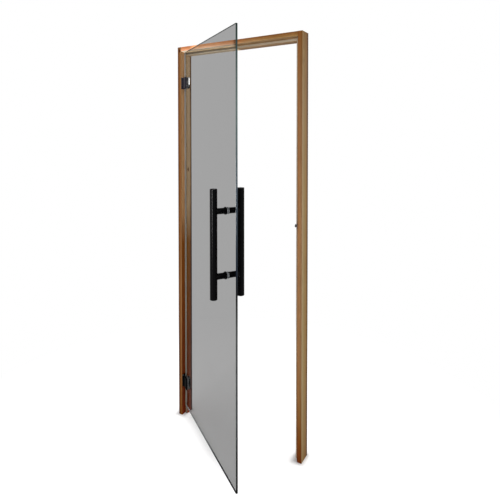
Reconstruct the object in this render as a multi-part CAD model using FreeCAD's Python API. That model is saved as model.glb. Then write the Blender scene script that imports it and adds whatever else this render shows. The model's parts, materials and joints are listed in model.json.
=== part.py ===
import FreeCAD, Part
import math
import os

os.makedirs("parts", exist_ok=True)

# Glazed sauna door in a three sided timber frame, millimetres.
# x runs from the outer side of the hinge jamb to the latch jamb,
# y runs from the opening side into the cabin, zero at mid depth of the frame,
# z is up from the floor.

# Overall frame
frame_width = 690.0
frame_height = 1890.0
frame_depth = 65.0

# Rebated section, the same for both jambs and the head
section_width = 38.0
lip_width = 22.0
rebate_depth = 24.0
arris_chamfer = 1.0

# Seal strip pressed in a kerf of the rebate shoulder
seal_width = 10.0
seal_proud = 3.6
seal_corner = 1.4
seal_edge_offset = 4.0
kerf_width = 3.0
kerf_depth = 6.0

# Glass leaf
glass_thickness = 8.0
glass_side_gap = 6.0
glass_top_gap = 5.0
floor_gap = 50.0
glass_corner_radius = 3.0
closed_seal_gap = 0.4
rest_open_deg = 33.0

# Hinges
hinge_height = 56.0
lower_hinge_z = 180.0
upper_hinge_drop = 184.0
pin_setback = 2.0
pin_radius = 2.6
pin_bore_clearance = 0.08
pin_head_radius = 4.0
pin_head_height = 1.5
knuckle_radius = 5.5
barrel_height = 20.0
knuckle_gap = 0.5
bracket_plate = 3.5
bracket_back_width = 15.5
bracket_side_start = 8.5
clamp_start = 7.5
clamp_end = 44.0
clamp_thickness = 8.0
clamp_corner = 2.0
backplate_start = 15.0
backplate_thickness = 8.0
gasket_thickness = 1.0
clamp_bush_radius = 7.0
clamp_bush_inset = 14.0
clamp_bush_spacing = 28.0

# Pull handle, the same on both faces
handle_from_free_edge = 92.0
handle_mid_z = 1008.0
bar_length = 440.0
bar_radius = 15.0
bar_wall = 1.5
cap_thickness = 2.0
post_spacing = 260.0
post_radius = 12.25
bar_offset = 55.0
collar_radius = 15.5
collar_thickness = 7.0
handle_bush_radius = 7.0
handle_bush_proud = 1.0
stud_radius = 4.0
stud_reach = 12.0

# Roller catch in the rebate shoulder of the latch jamb
catch_z = 1040.0
catch_roller_radius = 7.0
catch_roller_length = 8.8
catch_roller_overhang = 6.0
catch_roller_gap = 0.5
catch_axle_radius = 2.5
catch_plate_width = 9.0
catch_plate_height = 22.0
catch_plate_proud = 3.0
catch_cheek = 2.0
catch_pocket_height = 18.0
catch_pocket_depth = 12.0
seal_break_clearance = 1.0

# Derived planes
front_y = -frame_depth / 2.0
back_y = frame_depth / 2.0
shoulder_y = front_y + rebate_depth
glass_inner_y = shoulder_y - seal_proud - closed_seal_gap
glass_outer_y = glass_inner_y - glass_thickness
latch_side_x = frame_width - lip_width
latch_reveal_x = frame_width - section_width
head_lip_z = frame_height - lip_width
head_reveal_z = frame_height - section_width
glass_left_x = lip_width + glass_side_gap
glass_right_x = latch_side_x - glass_side_gap
glass_top_z = head_lip_z - glass_top_gap
upper_hinge_z = frame_height - upper_hinge_drop
pivot_x = glass_left_x
pivot_y = front_y + pin_setback
handle_x = glass_right_x - handle_from_free_edge


def vec(x, y, z):
    return FreeCAD.Vector(x, y, z)


def box(x0, x1, y0, y1, z0, z1):
    """Axis aligned block between two corners."""
    return Part.makeBox(x1 - x0, y1 - y0, z1 - z0, vec(x0, y0, z0))


def prism(points, z0, z1):
    """Upright prism over a closed outline in plan."""
    wire = Part.makePolygon([vec(x, y, z0) for x, y in points + points[:1]])
    return Part.Face(wire).extrude(vec(0, 0, z1 - z0))


def lying_prism(points, x0, x1):
    """Prism along x over a closed outline of (y, z) points."""
    wire = Part.makePolygon([vec(x0, y, z) for y, z in points + points[:1]])
    return Part.Face(wire).extrude(vec(x1 - x0, 0, 0))


def fused(*shapes):
    """One solid out of touching pieces."""
    result = shapes[0]
    for shape in shapes[1:]:
        result = result.fuse(shape)
    return result.removeSplitter()


def chamfered_section(edge, across, mirror_at=None):
    """Rebated section outline with its long arrises eased.

    The first coordinate runs from the outer side, the second from front to back.
    """
    c = arris_chamfer
    outline = [
        (0.0, front_y + c),
        (c, front_y),
        (edge - c, front_y),
        (edge, front_y + c),
        (edge, shoulder_y),
        (across - c, shoulder_y),
        (across, shoulder_y + c),
        (across, back_y - c),
        (across - c, back_y),
        (c, back_y),
        (0.0, back_y - c),
    ]
    if mirror_at is None:
        return outline
    return [(mirror_at - u, v) for u, v in outline]


def kerf_centre():
    """Distance of the seal's middle from the outer side of the section."""
    return lip_width + seal_edge_offset + seal_width / 2.0


def seal_profile(centre):
    """Bulb of the seal strip in plan, closed flat against the shoulder."""
    half = seal_width / 2.0
    face = shoulder_y - seal_proud
    return [
        (centre - half, shoulder_y),
        (centre - half, face + seal_corner),
        (centre - half + seal_corner, face),
        (centre + half - seal_corner, face),
        (centre + half, face + seal_corner),
        (centre + half, shoulder_y),
    ]


# Timber frame: full height jambs with the head scribed between them
kerf_from = kerf_centre() - kerf_width / 2.0
kerf_to = kerf_centre() + kerf_width / 2.0
hinge_jamb = prism(chamfered_section(lip_width, section_width), 0.0, frame_height)
hinge_jamb = hinge_jamb.cut(
    box(kerf_from, kerf_to, shoulder_y, shoulder_y + kerf_depth, 0.0, head_lip_z)
)
latch_jamb = prism(
    chamfered_section(lip_width, section_width, frame_width), 0.0, frame_height
)
latch_jamb = latch_jamb.cut(
    box(
        frame_width - kerf_to,
        frame_width - kerf_from,
        shoulder_y,
        shoulder_y + kerf_depth,
        0.0,
        head_lip_z,
    )
)

# The roller catch sits in a pocket behind the arris of the latch shoulder
pocket_x = latch_reveal_x + catch_roller_length - catch_roller_overhang + catch_cheek
catch_pocket = box(
    latch_reveal_x,
    pocket_x,
    shoulder_y,
    shoulder_y + catch_pocket_depth,
    catch_z - catch_pocket_height / 2.0,
    catch_z + catch_pocket_height / 2.0,
)
latch_jamb = latch_jamb.cut(catch_pocket)

# Head: the lip reaches into the rebates of the jambs, the body stops at them
c = arris_chamfer
head_lip = lying_prism(
    [
        (front_y, frame_height - c),
        (front_y + c, frame_height),
        (shoulder_y, frame_height),
        (shoulder_y, head_lip_z),
        (front_y + c, head_lip_z),
        (front_y, head_lip_z + c),
    ],
    lip_width,
    latch_side_x,
)
head_body = lying_prism(
    [
        (shoulder_y, frame_height),
        (back_y - c, frame_height),
        (back_y, frame_height - c),
        (back_y, head_reveal_z + c),
        (back_y - c, head_reveal_z),
        (shoulder_y + c, head_reveal_z),
        (shoulder_y, head_reveal_z + c),
    ],
    section_width,
    latch_reveal_x,
)
head_rail = fused(head_lip, head_body)
head_kerf_z = frame_height - kerf_centre()
head_rail = head_rail.cut(
    box(
        section_width,
        latch_reveal_x,
        shoulder_y,
        shoulder_y + kerf_depth,
        head_kerf_z - kerf_width / 2.0,
        head_kerf_z + kerf_width / 2.0,
    )
)


def jamb_seal(centre, breaks):
    """Seal strip of a jamb, its bulb left out at each fitting."""
    bulb = prism(seal_profile(centre), 0.0, head_lip_z)
    for low, high in breaks:
        bulb = bulb.cut(
            box(
                centre - seal_width,
                centre + seal_width,
                shoulder_y - 2.0 * seal_proud,
                shoulder_y,
                low,
                high,
            )
        )
    root = box(
        centre - kerf_width / 2.0,
        centre + kerf_width / 2.0,
        shoulder_y,
        shoulder_y + kerf_depth,
        0.0,
        head_lip_z,
    )
    return fused(root, bulb)


hinge_break = hinge_height / 2.0 + seal_break_clearance
catch_break = catch_plate_height / 2.0 + seal_break_clearance
hinge_jamb_seal = jamb_seal(
    kerf_centre(),
    [
        (lower_hinge_z - hinge_break, lower_hinge_z + hinge_break),
        (upper_hinge_z - hinge_break, upper_hinge_z + hinge_break),
    ],
)
latch_jamb_seal = jamb_seal(
    frame_width - kerf_centre(), [(catch_z - catch_break, catch_z + catch_break)]
)

seal_end = kerf_centre() + seal_width / 2.0
seal_face = shoulder_y - seal_proud
seal_low_z = head_kerf_z - seal_width / 2.0
seal_high_z = head_kerf_z + seal_width / 2.0
head_seal = fused(
    lying_prism(
        [
            (shoulder_y, seal_low_z),
            (seal_face + seal_corner, seal_low_z),
            (seal_face, seal_low_z + seal_corner),
            (seal_face, seal_high_z - seal_corner),
            (seal_face + seal_corner, seal_high_z),
            (shoulder_y, seal_high_z),
        ],
        seal_end,
        frame_width - seal_end,
    ),
    box(
        section_width,
        latch_reveal_x,
        shoulder_y,
        shoulder_y + kerf_depth,
        head_kerf_z - kerf_width / 2.0,
        head_kerf_z + kerf_width / 2.0,
    ),
)


def hinge_bracket(mid_z):
    """Folded plate in the rebate corner with the two outer knuckles."""
    low = mid_z - hinge_height / 2.0
    high = mid_z + hinge_height / 2.0
    back = box(
        lip_width,
        lip_width + bracket_back_width,
        shoulder_y - bracket_plate,
        shoulder_y,
        low,
        high,
    )
    side = box(
        lip_width,
        lip_width + bracket_plate,
        front_y + bracket_side_start,
        shoulder_y - bracket_plate,
        low,
        high,
    )
    pieces = [back, side]
    knuckle_height = hinge_height / 2.0 - barrel_height / 2.0 - knuckle_gap
    for start in (low, high - knuckle_height):
        pieces.append(
            Part.makeCylinder(knuckle_radius, knuckle_height, vec(pivot_x, pivot_y, start))
        )
        pieces.append(
            box(
                lip_width,
                lip_width + bracket_plate,
                pivot_y,
                front_y + bracket_side_start,
                start,
                start + knuckle_height,
            )
        )
    bore = Part.makeCylinder(pin_radius, hinge_height, vec(pivot_x, pivot_y, low))
    return fused(*pieces).cut(bore)


def hinge_pin(mid_z):
    """Steel pin dropped in from above, its low head on the upper knuckle."""
    low = mid_z - hinge_height / 2.0
    shank = Part.makeCylinder(pin_radius, hinge_height, vec(pivot_x, pivot_y, low))
    head = Part.makeCylinder(
        pin_head_radius, pin_head_height, vec(pivot_x, pivot_y, low + hinge_height)
    )
    return fused(shank, head)


# Leaf fittings are drawn with the leaf closed and turned open at the end
def hinge_clamp(mid_z):
    """Outer clamp plate with the middle barrel that turns on the pin."""
    plate_back = glass_outer_y - gasket_thickness
    plate = box(
        pivot_x + clamp_start,
        pivot_x + clamp_end,
        plate_back - clamp_thickness,
        plate_back,
        mid_z - hinge_height / 2.0,
        mid_z + hinge_height / 2.0,
    )
    front_edges = [
        edge
        for edge in plate.Edges
        if all(abs(v.Point.y - (plate_back - clamp_thickness)) < 1e-6 for v in edge.Vertexes)
    ]
    plate = plate.makeChamfer(clamp_corner / 2.0, front_edges)
    barrel_low = mid_z - barrel_height / 2.0
    barrel = Part.makeCylinder(knuckle_radius, barrel_height, vec(pivot_x, pivot_y, barrel_low))
    web = box(
        pivot_x,
        pivot_x + clamp_start + clamp_corner,
        pivot_y,
        pivot_y + knuckle_radius,
        barrel_low,
        barrel_low + barrel_height,
    )
    bore = Part.makeCylinder(
        pin_radius + pin_bore_clearance, barrel_height, vec(pivot_x, pivot_y, barrel_low)
    )
    return fused(plate, barrel, web).cut(bore)


def hinge_backplate(mid_z):
    """Inner clamp plate, set in from the glass edge to pass the jamb."""
    plate_front = glass_inner_y + gasket_thickness
    plate = box(
        pivot_x + backplate_start,
        pivot_x + clamp_end,
        plate_front,
        plate_front + backplate_thickness,
        mid_z - hinge_height / 2.0,
        mid_z + hinge_height / 2.0,
    )
    back_edges = [
        edge
        for edge in plate.Edges
        if all(abs(v.Point.y - (plate_front + backplate_thickness)) < 1e-6 for v in edge.Vertexes)
    ]
    return plate.makeChamfer(clamp_corner / 2.0, back_edges)


def bush_places(mid_z):
    """Middles of the two holes through the glass at a hinge."""
    x = pivot_x + clamp_end - clamp_bush_inset
    return [(x, mid_z - clamp_bush_spacing / 2.0), (x, mid_z + clamp_bush_spacing / 2.0)]


def through_rod(x, z, radius, y0, y1):
    """Round rod along y."""
    return Part.makeCylinder(radius, y1 - y0, vec(x, y0, z), vec(0, 1, 0))


def hinge_gasket(mid_z):
    """Pads on both faces of the glass joined by the bushes in its holes."""
    low = mid_z - hinge_height / 2.0
    high = mid_z + hinge_height / 2.0
    outer = box(
        pivot_x + clamp_start,
        pivot_x + clamp_end,
        glass_outer_y - gasket_thickness,
        glass_outer_y,
        low,
        high,
    )
    inner = box(
        pivot_x + backplate_start,
        pivot_x + clamp_end,
        glass_inner_y,
        glass_inner_y + gasket_thickness,
        low,
        high,
    )
    bushes = [
        through_rod(x, z, clamp_bush_radius, glass_outer_y, glass_inner_y)
        for x, z in bush_places(mid_z)
    ]
    return fused(outer, inner, *bushes)


# Glass leaf with rounded corners, drilled for the hinges and the handle
glass = box(
    glass_left_x, glass_right_x, glass_outer_y, glass_inner_y, floor_gap, glass_top_z
)
corner_edges = [
    edge
    for edge in glass.Edges
    if abs(edge.Vertexes[0].Point.x - edge.Vertexes[1].Point.x) < 1e-6
    and abs(edge.Vertexes[0].Point.z - edge.Vertexes[1].Point.z) < 1e-6
]
glass = glass.makeFillet(glass_corner_radius, corner_edges)
post_heights = {
    "upper": handle_mid_z + post_spacing / 2.0,
    "lower": handle_mid_z - post_spacing / 2.0,
}
for hinge_z in (lower_hinge_z, upper_hinge_z):
    for hole_x, hole_z in bush_places(hinge_z):
        glass = glass.cut(
            through_rod(hole_x, hole_z, clamp_bush_radius, glass_outer_y, glass_inner_y)
        )
for post_z in post_heights.values():
    glass = glass.cut(
        through_rod(handle_x, post_z, handle_bush_radius, glass_outer_y, glass_inner_y)
    )

# Handle bars: tubes closed by flat discs
outer_bar_y = glass_outer_y - bar_offset
inner_bar_y = glass_inner_y + bar_offset
bar_low = handle_mid_z - bar_length / 2.0
bar_high = handle_mid_z + bar_length / 2.0


def handle_bar(bar_y):
    """Tube between the two end caps."""
    length = bar_length - 2.0 * cap_thickness
    start = vec(handle_x, bar_y, bar_low + cap_thickness)
    tube = Part.makeCylinder(bar_radius, length, start)
    return tube.cut(Part.makeCylinder(bar_radius - bar_wall, length, start))


def bar_cap(bar_y, top):
    """Disc set flush on the end of the tube."""
    if top:
        start = bar_high - cap_thickness
    else:
        start = bar_low
    return Part.makeCylinder(bar_radius, cap_thickness, vec(handle_x, bar_y, start))


def handle_post(bar_y, post_z, outer):
    """Round stand-off, scribed to the bar and bored for the stud."""
    if outer:
        end = glass_outer_y - handle_bush_proud - collar_thickness
        post = through_rod(handle_x, post_z, post_radius, bar_y, end)
    else:
        end = glass_inner_y + handle_bush_proud
        post = through_rod(handle_x, post_z, post_radius, end, bar_y)
    bar = Part.makeCylinder(bar_radius, bar_length, vec(handle_x, bar_y, bar_low))
    post = post.cut(bar)
    return post.cut(handle_stud(post_z))


def handle_collar(post_z):
    """Collar between the outer stand-off and the end of the bush."""
    end = glass_outer_y - handle_bush_proud
    collar = through_rod(handle_x, post_z, collar_radius, end - collar_thickness, end)
    return collar.cut(handle_stud(post_z))


def handle_stud(post_z):
    """Threaded stud through the glass that draws the two sides together."""
    outer_end = glass_outer_y - handle_bush_proud - collar_thickness - stud_reach
    inner_end = glass_inner_y + handle_bush_proud + stud_reach
    return through_rod(handle_x, post_z, stud_radius, outer_end, inner_end)


def handle_bush(post_z):
    """Bush in the glass hole, a little proud on both faces to keep metal off the glass."""
    bush = through_rod(
        handle_x,
        post_z,
        handle_bush_radius,
        glass_outer_y - handle_bush_proud,
        glass_inner_y + handle_bush_proud,
    )
    return bush.cut(handle_stud(post_z))


leaf_parts = {
    "glass_leaf": glass,
    "upper_hinge_clamp": hinge_clamp(upper_hinge_z),
    "upper_hinge_backplate": hinge_backplate(upper_hinge_z),
    "upper_hinge_gasket": hinge_gasket(upper_hinge_z),
    "lower_hinge_clamp": hinge_clamp(lower_hinge_z),
    "lower_hinge_backplate": hinge_backplate(lower_hinge_z),
    "lower_hinge_gasket": hinge_gasket(lower_hinge_z),
    "outer_handle_bar": handle_bar(outer_bar_y),
    "inner_handle_bar": handle_bar(inner_bar_y),
    "outer_handle_top_cap": bar_cap(outer_bar_y, True),
    "outer_handle_bottom_cap": bar_cap(outer_bar_y, False),
    "inner_handle_top_cap": bar_cap(inner_bar_y, True),
    "inner_handle_bottom_cap": bar_cap(inner_bar_y, False),
}
for level, post_z in post_heights.items():
    leaf_parts["outer_%s_post" % level] = handle_post(outer_bar_y, post_z, True)
    leaf_parts["inner_%s_post" % level] = handle_post(inner_bar_y, post_z, False)
    leaf_parts["outer_%s_collar" % level] = handle_collar(post_z)
    leaf_parts["%s_handle_bush" % level] = handle_bush(post_z)
    leaf_parts["%s_handle_stud" % level] = handle_stud(post_z)

# Roller catch: plate on the shoulder, cheek and axle in the pocket, roller
roller_y = glass_inner_y + catch_roller_gap + catch_roller_radius
roller_x = latch_reveal_x - catch_roller_overhang
cheek_x = roller_x + catch_roller_length
catch_plate = box(
    cheek_x,
    cheek_x + catch_plate_width,
    shoulder_y - catch_plate_proud,
    shoulder_y,
    catch_z - catch_plate_height / 2.0,
    catch_z + catch_plate_height / 2.0,
)
catch_cheek_block = box(
    cheek_x,
    cheek_x + catch_cheek,
    shoulder_y,
    shoulder_y + catch_pocket_depth,
    catch_z - catch_pocket_height / 2.0,
    catch_z + catch_pocket_height / 2.0,
)
catch_axle = Part.makeCylinder(
    catch_axle_radius,
    catch_roller_length,
    vec(roller_x, roller_y, catch_z),
    vec(1, 0, 0),
)
catch_housing = fused(catch_plate, catch_cheek_block, catch_axle)
catch_roller = Part.makeCylinder(
    catch_roller_radius,
    catch_roller_length,
    vec(roller_x, roller_y, catch_z),
    vec(1, 0, 0),
)
catch_roller = catch_roller.cut(catch_axle)

frame_parts = {
    "hinge_jamb": hinge_jamb,
    "latch_jamb": latch_jamb,
    "head_rail": head_rail,
    "hinge_jamb_seal": hinge_jamb_seal,
    "latch_jamb_seal": latch_jamb_seal,
    "head_seal": head_seal,
    "upper_hinge_bracket": hinge_bracket(upper_hinge_z),
    "lower_hinge_bracket": hinge_bracket(lower_hinge_z),
    "upper_hinge_pin": hinge_pin(upper_hinge_z),
    "lower_hinge_pin": hinge_pin(lower_hinge_z),
    "catch_housing": catch_housing,
    "catch_roller": catch_roller,
}

for name, shape in leaf_parts.items():
    turned = shape.copy()
    turned.rotate(vec(pivot_x, pivot_y, 0), vec(0, 0, 1), -rest_open_deg)
    turned.exportStep("parts/%s.step" % name)

for name, shape in frame_parts.items():
    shape.exportStep("parts/%s.step" % name)
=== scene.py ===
"""Sauna door with a grey glass leaf in a timber frame, dressed for the studio.

Metres throughout. x runs from the hinge jamb to the latch jamb, y into the cabin
and z up from the floor. Pieces on the leaf are drawn in the leaf's own directions:
s along the glass from the hinge, t through it towards the cabin, z up.
"""
import json
import math

import bmesh
import bpy
import numpy as np
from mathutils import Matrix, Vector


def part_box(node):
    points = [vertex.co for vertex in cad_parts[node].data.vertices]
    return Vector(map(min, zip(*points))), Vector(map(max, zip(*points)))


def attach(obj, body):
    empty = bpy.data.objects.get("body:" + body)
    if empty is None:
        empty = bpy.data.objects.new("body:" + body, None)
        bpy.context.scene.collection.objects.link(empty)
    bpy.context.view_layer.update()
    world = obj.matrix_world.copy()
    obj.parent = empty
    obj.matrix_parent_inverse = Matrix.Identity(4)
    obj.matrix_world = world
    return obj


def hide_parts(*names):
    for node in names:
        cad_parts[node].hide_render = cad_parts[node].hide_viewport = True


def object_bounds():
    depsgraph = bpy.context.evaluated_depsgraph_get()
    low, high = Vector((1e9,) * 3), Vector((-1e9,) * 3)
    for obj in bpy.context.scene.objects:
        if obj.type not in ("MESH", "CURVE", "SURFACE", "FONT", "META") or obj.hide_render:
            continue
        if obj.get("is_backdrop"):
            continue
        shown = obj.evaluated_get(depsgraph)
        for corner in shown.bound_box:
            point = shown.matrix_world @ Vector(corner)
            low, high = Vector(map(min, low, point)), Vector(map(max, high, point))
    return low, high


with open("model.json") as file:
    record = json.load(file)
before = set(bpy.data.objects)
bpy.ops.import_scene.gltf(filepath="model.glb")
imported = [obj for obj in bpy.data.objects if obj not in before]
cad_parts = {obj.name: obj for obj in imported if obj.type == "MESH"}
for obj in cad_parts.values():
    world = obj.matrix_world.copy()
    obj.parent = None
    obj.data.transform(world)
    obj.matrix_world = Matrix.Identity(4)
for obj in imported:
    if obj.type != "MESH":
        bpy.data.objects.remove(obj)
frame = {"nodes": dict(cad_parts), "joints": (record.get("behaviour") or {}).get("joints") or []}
cad_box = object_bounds()

MM = 0.001

# Sizes of the construction that its boxes don't give
LIP_WIDTH = 22 * MM
SEAL_WIDTH = 10 * MM
SEAL_PROUD = 3.6 * MM
TUBE_WALL = 1.5 * MM
BRACKET_PLATE = 3.5 * MM
CLAMP_SCREW_INSET = 14 * MM
CLAMP_SCREW_SPACING = 28 * MM

# Where the leaf stands at rest
swing = frame["joints"][0]
pivot = np.array(swing["pos_m"])
open_angle = math.radians(-swing["range_deg"][0])
leaf_along = np.array([math.cos(open_angle), -math.sin(open_angle), 0.0])
leaf_inward = np.array([math.sin(open_angle), math.cos(open_angle), 0.0])
upward = np.array([0.0, 0.0, 1.0])


def leaf_to_row(points):
    """Points (s, t, z) of the leaf in the row frame: pivot + s * along + t * inward, z kept."""
    points = np.asarray(points, float)
    flat_pivot = pivot * [1.0, 1.0, 0.0]
    directions = np.stack([leaf_along, leaf_inward, upward])
    return flat_pivot + points @ directions


def leaf_box(node):
    """Lowest and highest (s, t, z) of a leaf node, measured along the leaf's own directions."""
    corners = np.zeros(len(frame["nodes"][node].data.vertices) * 3)
    frame["nodes"][node].data.vertices.foreach_get("co", corners)
    local = (corners.reshape(-1, 3) - pivot * [1.0, 1.0, 0.0]) @ np.stack(
        [leaf_along, leaf_inward, upward]
    ).T
    return local.min(0), local.max(0)


# Meshes

WELD = 0.002 * MM
CREASE = math.radians(32)


def grid_quads(rows, columns, wrap_rows=False, wrap_columns=False, start=0):
    """Quads of a rows by columns grid of points, joined round where a direction wraps."""
    row = np.arange(rows if wrap_rows else rows - 1)
    column = np.arange(columns if wrap_columns else columns - 1)
    row, column = np.meshgrid(row, column, indexing="ij")
    below = (row + 1) % rows
    beside = (column + 1) % columns
    quads = np.stack(
        [
            row * columns + column,
            row * columns + beside,
            below * columns + beside,
            below * columns + column,
        ],
        axis=-1,
    )
    return (quads.reshape(-1, 4) + start).tolist()


def make_piece(name, points, faces, materials, body, replaced=(), marks=None):
    """One welded mesh with outward faces, creased where it turns sharply, riding on its body."""
    mesh = bpy.data.meshes.new(name)
    mesh.from_pydata(np.asarray(points, float).reshape(-1, 3).tolist(), [], faces)
    for material in materials:
        mesh.materials.append(material)
    if marks is not None:
        mesh.polygons.foreach_set("material_index", marks)
    shape = bmesh.new()
    shape.from_mesh(mesh)
    bmesh.ops.remove_doubles(shape, verts=shape.verts, dist=WELD)
    bmesh.ops.dissolve_degenerate(shape, edges=shape.edges, dist=WELD)
    bmesh.ops.recalc_face_normals(shape, faces=shape.faces)
    shape.to_mesh(mesh)
    shape.free()
    mesh.polygons.foreach_set("use_smooth", [True] * len(mesh.polygons))
    mesh.set_sharp_from_angle(angle=CREASE)
    piece = bpy.data.objects.new(name, mesh)
    bpy.context.scene.collection.objects.link(piece)
    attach(piece, body)
    if replaced:
        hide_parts(*replaced)
    return piece


def turned(profile, centre, axis, segments=72):
    """Surface of revolution of (radius, height) points.

    At angle a a point lies at centre + height * axis + radius * (cos a * u + sin a * v),
    with u and v square to the axis. Returns the points and the faces.
    """
    axis = np.asarray(axis, float)
    helper = upward if abs(axis[2]) < 0.9 else np.array([1.0, 0.0, 0.0])
    u = np.cross(axis, helper)
    u /= np.linalg.norm(u)
    v = np.cross(axis, u)
    angle = np.linspace(0.0, 2.0 * math.pi, segments, endpoint=False)[None, :, None]
    radius, height = np.asarray(profile, float).T[:, :, None, None]
    points = centre + height * axis + radius * (np.cos(angle) * u + np.sin(angle) * v)
    return points.reshape(-1, 3), grid_quads(len(profile), segments, wrap_columns=True)


def rounded_corner(radius, height, turn_from, turn_to, centre_radius, steps=6):
    """Quarter round of a profile: a circle of that radius about (centre_radius, height)."""
    angle = np.linspace(math.radians(turn_from), math.radians(turn_to), steps)
    return np.stack(
        [centre_radius + radius * np.cos(angle), height + radius * np.sin(angle)], axis=1
    )


def carried(profile, start, end, across, out):
    """Closed outline carried along a straight run from start to end, with both ends closed.

    A profile point (a, b) lies at start + a * across + b * out, and again at the end.
    """
    profile = np.asarray(profile, float)
    offset = profile[:, :1] * np.asarray(across, float) + profile[:, 1:] * np.asarray(out, float)
    points = np.stack([start + offset, end + offset])
    count = len(profile)
    faces = grid_quads(2, count, wrap_columns=True)
    faces.append(list(range(count)))
    faces.append(list(range(count, 2 * count)))
    return points.reshape(-1, 3), faces


# Colours and material nodes


def linear(hex_colour):
    """sRGB hex colour as linear red, green, blue and 1."""
    parts = np.array([int(hex_colour[i:i + 2], 16) for i in (1, 3, 5)]) / 255.0
    bright = ((parts + 0.055) / 1.055) ** 2.4
    return (*np.where(parts <= 0.04045, parts / 12.92, bright).tolist(), 1.0)


def add_node(material, kind, settings=None, inputs=None):
    """Adds one node, sets its own settings, and fills or links its inputs."""
    node = material.node_tree.nodes.new(kind)
    for key, value in (settings or {}).items():
        setattr(node, key, value)
    for key, value in (inputs or {}).items():
        if isinstance(value, bpy.types.NodeSocket):
            material.node_tree.links.new(value, node.inputs[key])
        else:
            node.inputs[key].default_value = value
    return node


def new_material(name):
    """Empty node material with its output node."""
    material = bpy.data.materials.new(name)
    material.use_nodes = True
    material.node_tree.nodes.clear()
    return material


def finish_material(material, shader):
    """Links the last shader to the surface."""
    output = add_node(material, "ShaderNodeOutputMaterial")
    material.node_tree.links.new(shader.outputs[0], output.inputs["Surface"])
    return material


def set_ramp(node, stops):
    """Fills a colour ramp with (position, colour) stops."""
    elements = node.color_ramp.elements
    while len(elements) < len(stops):
        elements.new(0.5)
    for element, (position, colour) in zip(elements, stops):
        element.position = position
        element.color = colour
    return node


def mixed(material, blend, share, first, second):
    """Mix of two colours, by a plain share or a linked one."""
    return add_node(
        material,
        "ShaderNodeMix",
        {"data_type": "RGBA", "blend_type": blend},
        {0: share, 6: first, 7: second},
    ).outputs[2]


def mapped(material, value, start, end, to_start=0.0, to_end=1.0):
    """Value brought from start..end to to_start..to_end, and held there beyond."""
    return add_node(
        material,
        "ShaderNodeMapRange",
        inputs={
            "Value": value,
            "From Min": start,
            "From Max": end,
            "To Min": to_start,
            "To Max": to_end,
        },
    ).outputs[0]


def shaded(material, value, stops):
    """Colour ramp read at the value."""
    ramp = add_node(material, "ShaderNodeValToRGB", inputs={"Fac": value})
    return set_ramp(ramp, stops).outputs[0]


def calculated(material, operation, first, second):
    """One sum of two values."""
    return add_node(
        material, "ShaderNodeMath", {"operation": operation}, {0: first, 1: second}
    ).outputs[0]


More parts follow.
